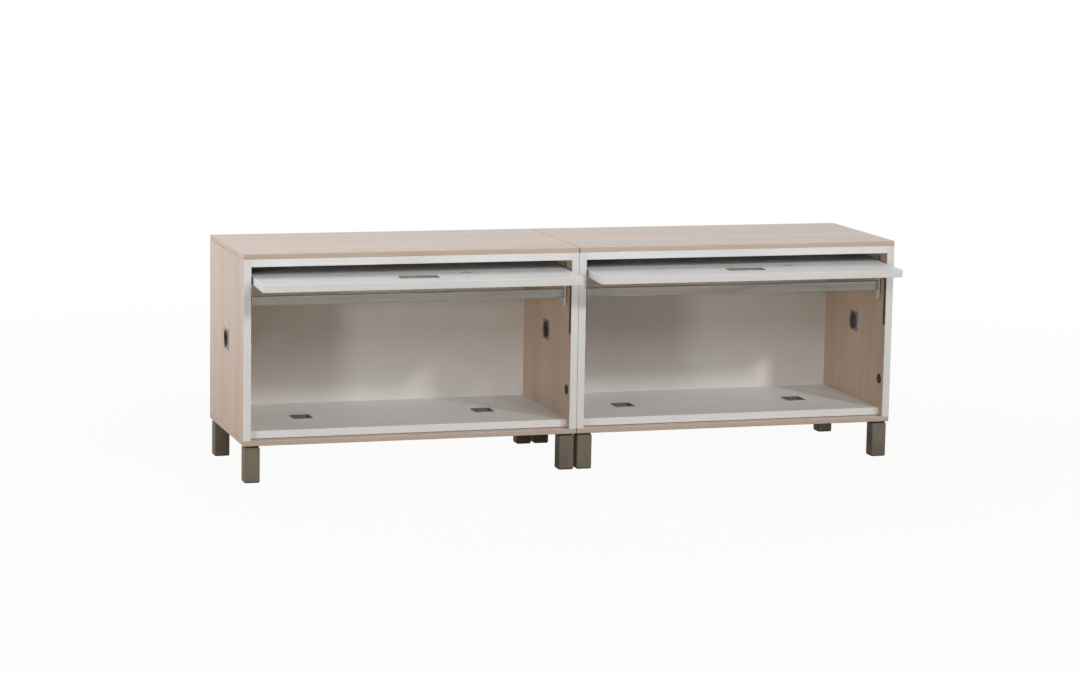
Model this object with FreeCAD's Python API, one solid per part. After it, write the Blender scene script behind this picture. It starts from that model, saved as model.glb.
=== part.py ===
import FreeCAD, Part
import math
import os

os.makedirs("parts", exist_ok=True)

# A low sideboard of two equal cabinets on legs. Each has a flap door that lies pushed back under
# the top, can be drawn forward on pins in side tracks, and then swings down to close the front.
# The tracks fall a little towards the front; they and the door are drawn level and then turned.
# Millimetres, +Z up, front towards -Y, origin on the ground under the middle of the whole piece.

# Cabinet
cabinet_width = 999.5
cabinet_depth = 477.0
carcass_height = 553.0
seam_gap = 1.0
leg_height = 108.0
cut_overrun = 5.0

# Boards
cover_thickness = 15.0
cover_edge_radius = 2.0
side_thickness = 22.0
band_thickness = 2.0
band_edge_radius = 0.8
rail_thickness = 22.0
rail_width = 80.0
floor_thickness = 22.0
floor_shadow_gap = 1.5
floor_setback = 30.0
back_thickness = 12.0
inner_edge_radius = 0.6

# Dowels that hold the boards together
dowel_diameter = 8.0
dowel_clearance = 0.05
dowel_cover_depth = 9.0
dowel_post_depth = 20.0
dowel_side_depth = 14.0
dowel_board_depth = 18.0
post_dowel_shares = (0.2, 0.5, 0.8)
floor_dowel_shares = (0.25, 0.6)
rail_dowel_share = 0.5

# Flap door, as it lies drawn back under the top, with its fall towards the front in degrees
door_fall_angle = 2.3
door_thickness = 22.0
door_projection = 128.0
door_side_gap = 5.5
door_setback = 2.0
door_head_gap = 2.0
door_foot_gap = 3.4
door_edge_radius = 1.2
door_drop = 46.0

# Pivot pins, trolleys and the tracks let into the sides
pin_diameter = 8.0
pin_running_clearance = 0.05
pin_fit_clearance = 0.02
pin_depth_in_door = 40.0
track_height = 20.0
track_depth = 12.0
track_wall = 1.6
track_slot_height = 10.0
track_setback = 3.5
trolley_clearance = 0.3
trolley_nose = 7.0
trolley_tail = 60.0
trolley_stop_gap = 1.0
track_screw_diameter = 3.0
track_screw_head_diameter = 6.4
track_screw_length = 8.0
track_screw_shares = (0.06, 0.5, 0.94)

# Stiffening bar on its two end brackets under the door
bar_height = 26.5
bar_depth = 12.0
bar_wall = 1.5
bar_edge_distance = 163.0
bar_drop = 39.4
bar_edge_radius = 0.8
bracket_inset = 1.5
bracket_thickness = 3.0
bracket_width = 18.0
bracket_lug_length = 28.0
bracket_eye_diameter = 9.0
bracket_foot_length = 34.0
bracket_screw_diameter = 3.5
bracket_screw_head_diameter = 7.0
bracket_screw_head_height = 2.2
bracket_screw_length = 12.0
bracket_screw_clearance = 0.1
bracket_screw_shares = (0.35, 0.78)

# Recessed handle and the lock beside it
handle_opening_width = 112.0
handle_opening_depth = 39.0
handle_edge_distance = 77.5
handle_flange = 2.5
handle_flange_height = 0.5
handle_cup_depth = 14.0
handle_wall = 1.5
handle_corner_radius = 5.0
handle_clearance = 0.2
lock_offset = 155.0
lock_edge_distance = 124.0
lock_flange_diameter = 29.0
lock_flange_height = 0.8
lock_body_diameter = 26.0
lock_recess_diameter = 22.0
lock_recess_depth = 4.0
lock_plug_diameter = 14.0
lock_clearance = 0.05
lock_plug_end = 3.5
lock_cam_length = 34.0
lock_cam_width = 13.0
lock_cam_thickness = 2.5
lock_cam_gap = 0.5
key_slot_length = 8.0
key_slot_width = 2.0
key_slot_depth = 3.0

# Fittings on the inner faces of the sides
strip_setback = 2.5
strip_width = 12.0
strip_thickness = 2.0
strip_length = 158.0
strip_drop = 61.0
cap_thickness = 1.5
cap_edge_radius = 0.8
low_cap_diameter = 30.5
low_cap_setback = 33.0
low_cap_height = 127.0
high_cap_diameter = 16.0
high_cap_setback = 59.0
high_cap_drop = 42.0
joint_bolt_diameter = 6.0
joint_bolt_clearance = 0.1
joint_head_diameter = 12.0
joint_head_thickness = 3.5
joint_head_clearance = 0.3

# Cable ports
port_plate_size = 60.0
port_plate_thickness = 2.0
port_plate_corner = 3.0
port_bore_diameter = 50.0
port_sleeve_wall = 2.0
port_clearance = 0.1
floor_port_offset = 278.0
floor_port_lead = 10.0
floor_port_opening = 50.0

# Legs
leg_size = 45.0
leg_inset = 5.0
leg_wall = 2.5
leg_plate = 4.0
leg_corner_radius = 2.0
spacer_height = 6.5
spacer_inset = 3.0
glide_height = 3.0
glide_inset = 1.0
glide_plug_height = 12.0
glide_plug_clearance = 0.2
leg_screw_diameter = 8.0
leg_screw_clearance = 0.1
leg_screw_bite = 12.0
leg_screw_head_diameter = 16.0
leg_screw_head_height = 6.0

# Levels and planes that follow from the sizes above
front_y = (door_projection - cabinet_depth) / 2
back_y = front_y + cabinet_depth
inner_back_y = back_y - back_thickness
middle_y = (front_y + back_y) / 2
top_z = leg_height + carcass_height
side_low = leg_height + cover_thickness
side_high = top_z - cover_thickness
middle_z = (side_low + side_high) / 2
floor_low = side_low + floor_shadow_gap
floor_high = floor_low + floor_thickness
floor_front_y = front_y + floor_setback
rail_low = side_high - rail_thickness
inner_half = cabinet_width / 2 - side_thickness

# The door turns about its front edge to its fall; its foremost point stays at the projection
fall_sine = math.sin(math.radians(door_fall_angle))
fall_cosine = math.cos(math.radians(door_fall_angle))
corner_lead = (door_thickness / 2 - door_edge_radius) * fall_sine + door_edge_radius * (1 - fall_cosine)
edge_y = front_y - door_projection + corner_lead
edge_z = rail_low - door_drop

# The door is as long as lets it turn between the front rail above and the floor below
closed_y = front_y + door_setback + door_thickness / 2
closed_z = edge_z + (closed_y - edge_y) * fall_sine / fall_cosine
rail_pivot_z = edge_z + (front_y + rail_width - edge_y) * fall_sine / fall_cosine
door_heel = math.sqrt((rail_low - rail_pivot_z - door_head_gap) ** 2 - (door_thickness / 2) ** 2)
door_reach = math.sqrt((closed_z - floor_high - door_foot_gap) ** 2 - (door_thickness / 2) ** 2)
door_travel = door_reach - (closed_y - edge_y) / fall_cosine
door_half = inner_half - door_side_gap

# Places on the door and the tracks while they are drawn level
pivot_y = edge_y + door_reach
pivot_z = edge_z
door_low = edge_z - door_thickness / 2
door_high = edge_z + door_thickness / 2
bar_front_y = edge_y + bar_edge_distance
bar_high = door_low - bar_drop
bar_low = bar_high - bar_height
bracket_middle_y = bar_front_y + bar_depth / 2
handle_y = edge_y + handle_edge_distance
lock_y = edge_y + lock_edge_distance
track_front_y = front_y + track_setback
track_rear_y = pivot_y + trolley_tail + trolley_stop_gap

# Directions
along_x = FreeCAD.Vector(1, 0, 0)
along_y = FreeCAD.Vector(0, 1, 0)
along_z = FreeCAD.Vector(0, 0, 1)
straight_share = 0.999


def span(first, second):
    return (min(first, second), max(first, second))


def around(middle, size):
    return (middle - size / 2, middle + size / 2)


def block(x, y, z):
    corner = FreeCAD.Vector(x[0], y[0], z[0])
    return Part.makeBox(x[1] - x[0], y[1] - y[0], z[1] - z[0], corner)


def rod(diameter, start, end):
    line = end - start
    return Part.makeCylinder(diameter / 2, line.Length, start, line)


def cone(start_diameter, end_diameter, start, end):
    line = end - start
    return Part.makeCone(start_diameter / 2, end_diameter / 2, line.Length, start, line)


def soften(shape, radius, *directions):
    """Round the straight edges that run along the given directions."""
    edges = []
    for edge in shape.Edges:
        tangent = edge.tangentAt(edge.FirstParameter)
        if any(abs(tangent.dot(direction)) > straight_share for direction in directions):
            edges.append(edge)
    return shape.makeFillet(radius, edges)


def save(name, *solids):
    shape = solids[0] if len(solids) == 1 else Part.makeCompound(list(solids))
    shape.exportStep("parts/" + name + ".step")


def fall(*level):
    """Turn pieces of the door and the tracks from the level they are drawn at to their fall."""
    turned = [shape.copy() for shape in level]
    for shape in turned:
        shape.rotate(FreeCAD.Vector(0, edge_y, edge_z), along_x, door_fall_angle)
    return turned


def side_faces(middle_x, hand):
    """The outer and inner face of the side on the given hand, -1 left and +1 right."""
    outer_x = middle_x + hand * cabinet_width / 2
    return outer_x, outer_x - hand * side_thickness


def share_along(low, high, share):
    return low + (high - low) * share


# Dowels

def post_dowels(middle_x, extra):
    """Upright dowels between each side and the cover boards."""
    found = []
    for hand in (-1, 1):
        outer_x, inner_x = side_faces(middle_x, hand)
        x = (outer_x + inner_x) / 2
        for share in post_dowel_shares:
            y = share_along(front_y, back_y, share)
            for face_z, inward in ((side_low, 1), (side_high, -1)):
                start = FreeCAD.Vector(x, y, face_z - inward * dowel_cover_depth)
                end = FreeCAD.Vector(x, y, face_z + inward * dowel_post_depth)
                found.append(rod(dowel_diameter + extra, start, end))
    return found


def cross_dowels(middle_x, extra):
    """Level dowels between each side and the floor and rails."""
    floor_z = (floor_low + floor_high) / 2
    rail_z = (rail_low + side_high) / 2
    places = [(share_along(floor_front_y, inner_back_y, share), floor_z) for share in floor_dowel_shares]
    places.append((front_y + rail_width * rail_dowel_share, rail_z))
    places.append((inner_back_y - rail_width * rail_dowel_share, rail_z))
    found = []
    for hand in (-1, 1):
        outer_x, inner_x = side_faces(middle_x, hand)
        for y, z in places:
            start = FreeCAD.Vector(inner_x + hand * dowel_side_depth, y, z)
            end = FreeCAD.Vector(inner_x - hand * dowel_board_depth, y, z)
            found.append(rod(dowel_diameter + extra, start, end))
    return found


def dowels(middle_x, extra=0):
    return post_dowels(middle_x, extra) + cross_dowels(middle_x, extra)


# Boards

def leg_centres(middle_x):
    reach = cabinet_width / 2 - leg_inset - leg_size / 2
    front = front_y + leg_inset + leg_size / 2
    rear = back_y - leg_inset - leg_size / 2
    return [(middle_x + hand * reach, y) for y in (front, rear) for hand in (-1, 1)]


def floor_port_centres(middle_x):
    y = middle_y - floor_port_lead
    return [(middle_x + hand * floor_port_offset, y) for hand in (-1, 1)]


def floor_port_holes(middle_x):
    """Square cuts through floor and bottom board for the floor port sleeves."""
    size = floor_port_opening + 2 * port_sleeve_wall + 2 * port_clearance
    z = (leg_height - cut_overrun, floor_high + cut_overrun)
    return [block(around(x, size), around(y, size), z) for x, y in floor_port_centres(middle_x)]


def top_panel(middle_x, holes):
    x = around(middle_x, cabinet_width)
    panel = block(x, (front_y, back_y), (side_high, top_z))
    return soften(panel, cover_edge_radius, along_x, along_y, along_z).cut(holes)


def bottom_panel(middle_x, holes):
    x = around(middle_x, cabinet_width)
    panel = block(x, (front_y, back_y), (leg_height, side_low))
    panel = soften(panel, cover_edge_radius, along_x, along_y, along_z)
    screw_holes = []
    for leg_x, leg_y in leg_centres(middle_x):
        start = FreeCAD.Vector(leg_x, leg_y, leg_height - cut_overrun)
        end = FreeCAD.Vector(leg_x, leg_y, leg_height + leg_screw_bite)
        screw_holes.append(rod(leg_screw_diameter + 2 * leg_screw_clearance, start, end))
    return panel.cut(holes + screw_holes + floor_port_holes(middle_x))


def joint_bolt_places():
    return ((front_y + low_cap_setback, leg_height + low_cap_height),
            (front_y + high_cap_setback, side_high - high_cap_drop))


def joint_bolt_cuts():
    """Stepped holes for the bolts that pull the two cabinets together at the seam."""
    head = joint_head_diameter + 2 * joint_head_clearance
    shank = joint_bolt_diameter + 2 * joint_bolt_clearance
    face_x = seam_gap / 2 + side_thickness
    seat_x = face_x - joint_head_thickness
    cuts = []
    for y, z in joint_bolt_places():
        cuts.append(rod(shank, FreeCAD.Vector(-face_x, y, z), FreeCAD.Vector(face_x, y, z)))
        for hand in (-1, 1):
            seat = FreeCAD.Vector(hand * seat_x, y, z)
            mouth = FreeCAD.Vector(hand * (face_x + cut_overrun), y, z)
            cuts.append(rod(head, seat, mouth))
    return cuts


def side_panel(middle_x, hand, holes):
    """Wood-faced side with the track groove, the port hole and the bores for its fixings."""
    outer_x, inner_x = side_faces(middle_x, hand)
    panel = block(span(outer_x, inner_x), (front_y + band_thickness, back_y), (side_low, side_high))
    groove_x = span(inner_x - hand * cut_overrun, inner_x + hand * track_depth)
    groove = block(groove_x, (track_front_y, track_rear_y), around(pivot_z, track_height))
    sleeve = port_bore_diameter + 2 * port_sleeve_wall + 2 * port_clearance
    port_start = FreeCAD.Vector(outer_x + hand * cut_overrun, middle_y, middle_z)
    port_end = FreeCAD.Vector(inner_x - hand * cut_overrun, middle_y, middle_z)
    cuts = fall(groove, *track_screws(middle_x, hand)) + [rod(sleeve, port_start, port_end)]
    return panel.cut(cuts + holes + joint_bolt_cuts())


def side_band(middle_x, hand):
    """White band on the front edge of a side."""
    x = span(*side_faces(middle_x, hand))
    band = block(x, (front_y, front_y + band_thickness), (side_low, side_high))
    front_edges = [edge for edge in band.Edges if all(v.Y < front_y + band_edge_radius for v in edge.Vertexes)]
    upright = [edge for edge in front_edges if abs(edge.tangentAt(edge.FirstParameter).z) > straight_share]
    return band.makeFillet(band_edge_radius, upright)


def inner_board(middle_x, y, z):
    """White board between the sides, with softened long edges."""
    return soften(block(around(middle_x, 2 * inner_half), y, z), inner_edge_radius, along_x)


def floor_panel(middle_x, holes):
    board = inner_board(middle_x, (floor_front_y, inner_back_y), (floor_low, floor_high))
    return board.cut(holes + floor_port_holes(middle_x))


def top_rails(middle_x, holes):
    z = (rail_low, side_high)
    front = inner_board(middle_x, (front_y, front_y + rail_width), z)
    rear = inner_board(middle_x, (inner_back_y - rail_width, inner_back_y), z)
    return front.cut(holes), rear.cut(holes)


def back_panel(middle_x):
    return block(around(middle_x, 2 * inner_half), (inner_back_y, back_y), (side_low, side_high))


# Tracks, trolleys and pivot pins

def track_screws(middle_x, hand):
    """Countersunk screws through a track's web into the side."""
    outer_x, inner_x = side_faces(middle_x, hand)
    head_x = inner_x + hand * (track_depth - track_wall)
    web_x = inner_x + hand * track_depth
    tip_x = head_x + hand * track_screw_length
    found = []
    for share in track_screw_shares:
        y = share_along(track_front_y, track_rear_y, share)
        head = FreeCAD.Vector(head_x, y, pivot_z)
        web = FreeCAD.Vector(web_x, y, pivot_z)
        tip = FreeCAD.Vector(tip_x, y, pivot_z)
        sunk = cone(track_screw_head_diameter, track_screw_diameter, head, web)
        found.append(sunk.fuse(rod(track_screw_diameter, web, tip)).removeSplitter())
    return found


def track(middle_x, hand):
    """Lipped channel let flush into the side."""
    outer_x, inner_x = side_faces(middle_x, hand)
    y = (track_front_y, track_rear_y)
    outside = block(span(inner_x, inner_x + hand * track_depth), y, around(pivot_z, track_height))
    run = (track_front_y - cut_overrun, track_rear_y + cut_overrun)
    hollow_x = span(inner_x + hand * track_wall, inner_x + hand * (track_depth - track_wall))
    hollow = block(hollow_x, run, around(pivot_z, track_height - 2 * track_wall))
    slot_x = span(inner_x - hand * cut_overrun, inner_x + hand * (track_wall + trolley_clearance))
    slot = block(slot_x, run, around(pivot_z, track_slot_height))
    return outside.cut([hollow, slot] + track_screws(middle_x, hand))


def trolley_span(middle_x, hand):
    outer_x, inner_x = side_faces(middle_x, hand)
    near = inner_x + hand * (track_wall + trolley_clearance)
    far = inner_x + hand * (track_depth - track_wall - trolley_clearance)
    return near, far


def trolley(middle_x, hand):
    """Sliding block in the track, with the bore that the door's pivot pin turns in."""
    near, far = trolley_span(middle_x, hand)
    height = track_height - 2 * track_wall - 2 * trolley_clearance
    body = block(span(near, far), (pivot_y - trolley_nose, pivot_y + trolley_tail), around(pivot_z, height))
    start = FreeCAD.Vector(near - hand * cut_overrun, pivot_y, pivot_z)
    end = FreeCAD.Vector(far + hand * cut_overrun, pivot_y, pivot_z)
    return body.cut(rod(pin_diameter + 2 * pin_running_clearance, start, end))


def pin(middle_x, hand, extra=0):
    """Pivot pin set in the door's edge, reaching through the track's slot into the trolley."""
    near, far = trolley_span(middle_x, hand)
    start = FreeCAD.Vector(middle_x + hand * (door_half - pin_depth_in_door), pivot_y, pivot_z)
    return rod(pin_diameter + extra, start, FreeCAD.Vector(far, pivot_y, pivot_z))


# Door with its handle, lock, bar and brackets

def handle_block(middle_x, grow, z):
    x = around(middle_x, handle_opening_width + 2 * grow)
    y = around(handle_y, handle_opening_depth + 2 * grow)
    return soften(block(x, y, z), handle_corner_radius + grow, along_z)


def handle(middle_x):
    """Recessed pull: a cup in the door with a thin flange on the face."""
    cup = handle_block(middle_x, handle_wall, (door_high - handle_cup_depth, door_high))
    flange = handle_block(middle_x, handle_flange, (door_high, door_high + handle_flange_height))
    hollow_z = (door_high - handle_cup_depth + handle_wall, door_high + cut_overrun)
    return cup.fuse(flange).cut(handle_block(middle_x, 0, hollow_z)).removeSplitter()


def lock_point(middle_x, z):
    return FreeCAD.Vector(middle_x + lock_offset, lock_y, z)


def lock_barrel(middle_x):
    low = lock_point(middle_x, door_low)
    high = lock_point(middle_x, door_high)
    face = lock_point(middle_x, door_high + lock_flange_height)
    recess = lock_point(middle_x, door_high - lock_recess_depth)
    above = lock_point(middle_x, door_high + cut_overrun)
    below = lock_point(middle_x, door_low - cut_overrun)
    body = rod(lock_body_diameter, low, high).fuse(rod(lock_flange_diameter, high, face))
    bore = rod(lock_plug_diameter + 2 * lock_clearance, below, above)
    return body.cut([bore, rod(lock_recess_diameter, recess, above)]).removeSplitter()


def lock_plug(middle_x):
    """Turning plug with its key slot, and the cam on its inner end."""
    face = lock_point(middle_x, door_high - lock_recess_depth)
    end = lock_point(middle_x, door_low - lock_plug_end)
    slot_z = (face.z - key_slot_depth, face.z + cut_overrun)
    slot = block(around(face.x, key_slot_width), around(face.y, key_slot_length), slot_z)
    plug = rod(lock_plug_diameter, face, end).cut(slot)
    cam_z = (door_low - lock_cam_gap - lock_cam_thickness, door_low - lock_cam_gap)
    cam_y = (lock_y, lock_y + lock_cam_length - lock_cam_width)
    cam = block(around(face.x, lock_cam_width), cam_y, cam_z)
    for y in cam_y:
        cam = cam.fuse(rod(lock_cam_width, FreeCAD.Vector(face.x, y, cam_z[0]), FreeCAD.Vector(face.x, y, cam_z[1])))
    return plug, cam.removeSplitter().cut(plug)


def bracket_plane(middle_x, hand):
    return middle_x + hand * (door_half - bracket_inset)


def bracket_screws(middle_x, hand):
    """Screws through a bracket's foot into the inside of the door."""
    outer_x = bracket_plane(middle_x, hand)
    seat_z = door_low - bracket_thickness
    found = []
    for share in bracket_screw_shares:
        x = outer_x - hand * bracket_foot_length * share
        seat = FreeCAD.Vector(x, bracket_middle_y, seat_z)
        crown = FreeCAD.Vector(x, bracket_middle_y, seat_z - bracket_screw_head_height)
        tip = FreeCAD.Vector(x, bracket_middle_y, seat_z + bracket_screw_length)
        screw = rod(bracket_screw_head_diameter, crown, seat).fuse(rod(bracket_screw_diameter, seat, tip))
        found.append(screw.removeSplitter())
    return found


def bracket_screw_holes(middle_x, hand):
    holes = []
    for screw in bracket_screws(middle_x, hand):
        box = screw.BoundBox
        start = FreeCAD.Vector(box.Center.x, box.Center.y, door_low - bracket_thickness)
        end = FreeCAD.Vector(box.Center.x, box.Center.y, box.ZMax)
        holes.append(rod(bracket_screw_diameter + 2 * bracket_screw_clearance, start, end))
    return holes


def bracket(middle_x, hand):
    """Angle under the door's edge: a foot, a strap past the bar's end and a lug with an eye."""
    outer_x = bracket_plane(middle_x, hand)
    inner_x = outer_x - hand * bracket_thickness
    y = around(bracket_middle_y, bracket_width)
    eye_z = bar_low - bracket_lug_length + bracket_width / 2
    strap = block(span(outer_x, inner_x), y, (eye_z, door_low))
    foot_x = span(outer_x, outer_x - hand * bracket_foot_length)
    foot = block(foot_x, y, (door_low - bracket_thickness, door_low))
    lug_start = FreeCAD.Vector(outer_x, bracket_middle_y, eye_z)
    lug_end = FreeCAD.Vector(inner_x, bracket_middle_y, eye_z)
    body = strap.fuse([foot, rod(bracket_width, lug_start, lug_end)])
    eye_start = FreeCAD.Vector(outer_x + hand * cut_overrun, bracket_middle_y, eye_z)
    eye_end = FreeCAD.Vector(inner_x - hand * cut_overrun, bracket_middle_y, eye_z)
    eye = rod(bracket_eye_diameter, eye_start, eye_end)
    return body.cut([eye] + bracket_screw_holes(middle_x, hand)).removeSplitter()


def bar(middle_x):
    """Rectangular tube between the two brackets."""
    half = door_half - bracket_inset - bracket_thickness
    y = (bar_front_y, bar_front_y + bar_depth)
    outside = block(around(middle_x, 2 * half), y, (bar_low, bar_high))
    outside = soften(outside, bar_edge_radius, along_x)
    hollow_x = around(middle_x, 2 * half + 2 * cut_overrun)
    hollow_y = around(bracket_middle_y, bar_depth - 2 * bar_wall)
    return outside.cut(block(hollow_x, hollow_y, (bar_low + bar_wall, bar_high - bar_wall)))


def door(middle_x):
    slab = block(around(middle_x, 2 * door_half), (edge_y, pivot_y + door_heel), (door_low, door_high))
    slab = soften(slab, door_edge_radius, along_x, along_y, along_z)
    pocket_z = (door_high - handle_cup_depth, door_high + cut_overrun)
    pocket = handle_block(middle_x, handle_wall + handle_clearance, pocket_z)
    below = lock_point(middle_x, door_low - cut_overrun)
    above = lock_point(middle_x, door_high + cut_overrun)
    cuts = [pocket, rod(lock_body_diameter + 2 * lock_clearance, below, above)]
    for hand in (-1, 1):
        cuts.append(pin(middle_x, hand, 2 * pin_fit_clearance))
        cuts.extend(bracket_screw_holes(middle_x, hand))
    return slab.cut(cuts)


# Fittings on the sides

def guide_strip(middle_x, hand):
    outer_x, inner_x = side_faces(middle_x, hand)
    y = (front_y + strip_setback, front_y + strip_setback + strip_width)
    high = rail_low - strip_drop
    return block(span(inner_x, inner_x - hand * strip_thickness), y, (high - strip_length, high))


def cover_caps(middle_x, hand):
    """Round caps over the joint bolts, or over the places where a third cabinet would join."""
    outer_x, inner_x = side_faces(middle_x, hand)
    caps = []
    for diameter, (y, z) in zip((low_cap_diameter, high_cap_diameter), joint_bolt_places()):
        seat = FreeCAD.Vector(inner_x, y, z)
        face = FreeCAD.Vector(inner_x - hand * cap_thickness, y, z)
        cap = rod(diameter, seat, face)
        at_face = [edge for edge in cap.Edges if abs(edge.CenterOfMass.x - face.x) < cap_edge_radius]
        rim = [edge for edge in at_face if edge.Length > diameter]
        caps.append(cap.makeFillet(cap_edge_radius, rim))
    return caps


def joint_bolts():
    """Two-headed connecting bolts across the seam."""
    face_x = seam_gap / 2 + side_thickness
    seat_x = face_x - joint_head_thickness
    found = []
    for y, z in joint_bolt_places():
        bolt = rod(joint_bolt_diameter, FreeCAD.Vector(-seat_x, y, z), FreeCAD.Vector(seat_x, y, z))
        for hand in (-1, 1):
            seat = FreeCAD.Vector(hand * seat_x, y, z)
            bolt = bolt.fuse(rod(joint_head_diameter, seat, FreeCAD.Vector(hand * face_x, y, z)))
        found.append(bolt.removeSplitter())
    return found


# Cable ports

def port_plate(x, hole):
    """Square plate on a side face, with softened corners and a round hole."""
    plate = block(x, around(middle_y, port_plate_size), around(middle_z, port_plate_size))
    return soften(plate, port_plate_corner, along_x).cut(hole)


def side_port(middle_x, hand, at_seam):
    """Sleeve through a side with a plate inside, and a second plate where the outside is free."""
    outer_x, inner_x = side_faces(middle_x, hand)
    past_out = FreeCAD.Vector(outer_x + hand * cut_overrun, middle_y, middle_z)
    past_in = FreeCAD.Vector(inner_x - hand * cut_overrun, middle_y, middle_z)
    bore = rod(port_bore_diameter, past_out, past_in)
    sleeve_start = FreeCAD.Vector(outer_x, middle_y, middle_z)
    sleeve_end = FreeCAD.Vector(inner_x, middle_y, middle_z)
    sleeve = rod(port_bore_diameter + 2 * port_sleeve_wall, sleeve_start, sleeve_end).cut(bore)
    inside = port_plate(span(inner_x, inner_x - hand * port_plate_thickness), bore)
    pieces = [sleeve.fuse(inside).removeSplitter()]
    if not at_seam:
        pieces.append(port_plate(span(outer_x, outer_x + hand * port_plate_thickness), bore))
    return pieces


def floor_port(x, y):
    """Square sleeve through floor and bottom board with a flange on the floor."""
    sleeve_size = floor_port_opening + 2 * port_sleeve_wall
    flange_z = (floor_high, floor_high + port_plate_thickness)
    flange = block(around(x, port_plate_size), around(y, port_plate_size), flange_z)
    flange = soften(flange, port_plate_corner, along_z)
    sleeve = block(around(x, sleeve_size), around(y, sleeve_size), (leg_height, floor_high))
    opening_z = (leg_height - cut_overrun, floor_high + port_plate_thickness + cut_overrun)
    opening = block(around(x, floor_port_opening), around(y, floor_port_opening), opening_z)
    return flange.fuse(sleeve).cut(opening).removeSplitter()


# Legs

def leg(x, y):
    """Square tube closed by a plate at its head."""
    high = leg_height - spacer_height
    tube = block(around(x, leg_size), around(y, leg_size), (glide_height, high))
    tube = soften(tube, leg_corner_radius, along_z)
    inside = leg_size - 2 * leg_wall
    hollow_z = (glide_height - cut_overrun, high - leg_plate)
    hollow = block(around(x, inside), around(y, inside), hollow_z)
    return tube.cut([hollow, leg_screw_hole(x, y)])


def leg_screw_hole(x, y):
    start = FreeCAD.Vector(x, y, leg_height - spacer_height - leg_plate - cut_overrun)
    end = FreeCAD.Vector(x, y, leg_height + cut_overrun)
    return rod(leg_screw_diameter + 2 * leg_screw_clearance, start, end)


def leg_spacer(x, y):
    size = leg_size - 2 * spacer_inset
    plate = block(around(x, size), around(y, size), (leg_height - spacer_height, leg_height))
    return plate.cut(leg_screw_hole(x, y))


def leg_screw(x, y):
    seat = FreeCAD.Vector(x, y, leg_height - spacer_height - leg_plate)
    crown = FreeCAD.Vector(x, y, seat.z - leg_screw_head_height)
    tip = FreeCAD.Vector(x, y, leg_height + leg_screw_bite)
    return rod(leg_screw_head_diameter, crown, seat).fuse(rod(leg_screw_diameter, seat, tip)).removeSplitter()


def leg_glide(x, y):
    """Plastic foot: a flange under the tube and a plug inside it."""
    size = leg_size - 2 * glide_inset
    foot = soften(block(around(x, size), around(y, size), (0, glide_height)), leg_corner_radius, along_z)
    plug_size = leg_size - 2 * leg_wall - 2 * glide_plug_clearance
    plug_z = (glide_height, glide_height + glide_plug_height)
    return foot.fuse(block(around(x, plug_size), around(y, plug_size), plug_z)).removeSplitter()


# One cabinet after the other, then the pieces that both share

shared = {"carcass_dowels": [], "cover_caps": [], "track_screws": [], "leg_spacers": [], "leg_screws": [],
          "leg_glides": []}
cabinet_middle = (cabinet_width + seam_gap) / 2
for name, middle_x, inner_hand in (("left", -cabinet_middle, 1), ("right", cabinet_middle, -1)):
    holes = dowels(middle_x, 2 * dowel_clearance)
    save(name + "_top_panel", top_panel(middle_x, holes))
    save(name + "_bottom_panel", bottom_panel(middle_x, holes))
    save(name + "_inner_side", side_panel(middle_x, inner_hand, holes))
    save(name + "_outer_side", side_panel(middle_x, -inner_hand, holes))
    front_rail, rear_rail = top_rails(middle_x, holes)
    save(name + "_front_top_rail", front_rail)
    save(name + "_rear_top_rail", rear_rail)
    save(name + "_floor_panel", floor_panel(middle_x, holes))
    save(name + "_back_panel", back_panel(middle_x))
    save(name + "_door", *fall(door(middle_x)))
    save(name + "_door_handle", *fall(handle(middle_x)))
    save(name + "_lock_barrel", *fall(lock_barrel(middle_x)))
    save(name + "_lock_plug", *fall(*lock_plug(middle_x)))
    save(name + "_door_bar", *fall(bar(middle_x)))
    for label, piece in (("_door_tracks", track), ("_door_trolleys", trolley), ("_pivot_pins", pin),
                         ("_bar_brackets", bracket)):
        save(name + label, *fall(*[piece(middle_x, hand) for hand in (-1, 1)]))
    for label, piece in (("_side_bands", side_band), ("_guide_strips", guide_strip)):
        save(name + label, *[piece(middle_x, hand) for hand in (-1, 1)])
    screws = [screw for hand in (-1, 1) for screw in bracket_screws(middle_x, hand)]
    save(name + "_bracket_screws", *fall(*screws))
    ports = side_port(middle_x, inner_hand, True) + side_port(middle_x, -inner_hand, False)
    save(name + "_side_ports", *ports)
    save(name + "_floor_ports", *[floor_port(x, y) for x, y in floor_port_centres(middle_x)])
    places = ("front_left", "front_right", "rear_left", "rear_right")
    for place, (x, y) in zip(places, leg_centres(middle_x)):
        save(name + "_" + place + "_leg", leg(x, y))
        shared["leg_spacers"].append(leg_spacer(x, y))
        shared["leg_screws"].append(leg_screw(x, y))
        shared["leg_glides"].append(leg_glide(x, y))
    shared["carcass_dowels"].extend(dowels(middle_x))
    for hand in (-1, 1):
        shared["cover_caps"].extend(cover_caps(middle_x, hand))
        shared["track_screws"].extend(fall(*track_screws(middle_x, hand)))
for label, solids in shared.items():
    save(label, *solids)
save("joint_bolts", *joint_bolts())
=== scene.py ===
import math

import bmesh
import bpy
from mathutils import Matrix, Vector


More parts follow.
